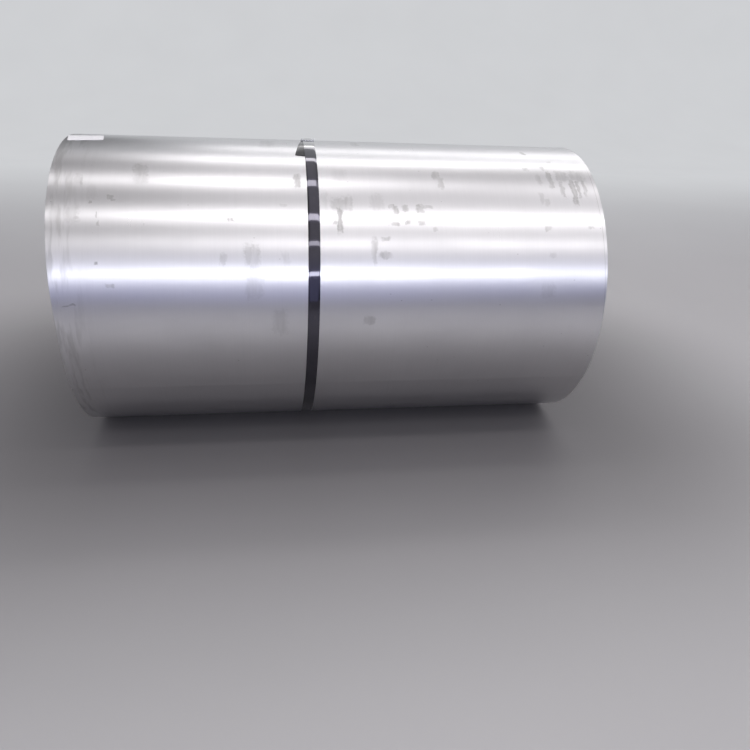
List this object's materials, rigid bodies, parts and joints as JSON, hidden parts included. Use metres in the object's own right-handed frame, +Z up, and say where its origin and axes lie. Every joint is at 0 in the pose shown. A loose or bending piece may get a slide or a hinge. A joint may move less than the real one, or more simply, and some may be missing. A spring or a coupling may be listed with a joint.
{
  "type": "steel coil",
  "caption": "Coil of bright cold-rolled steel strip lying on its side, tied round its middle with one dark steel strap and a notched seal, with a blank paper label near one end.",
  "frame": {"origin": "the point on the floor below the middle of the strip's width, in the middle of the bounding box's base", "axes": "+X along the coil's axis to the right end of the picture, -Y to the front that the picture shows, +Z up"},
  "size_m": [1.5135, 0.8618, 0.8646],
  "materials": {
    "coil_steel": "satin",
    "strap_steel": "gloss",
    "label_paper": "matte"
  },
  "bodies": {
    "root": {"coil": "coil_steel", "strap": "strap_steel", "strap_seal": "strap_steel", "paper_label": "label_paper"}
  },
  "joints": []
}
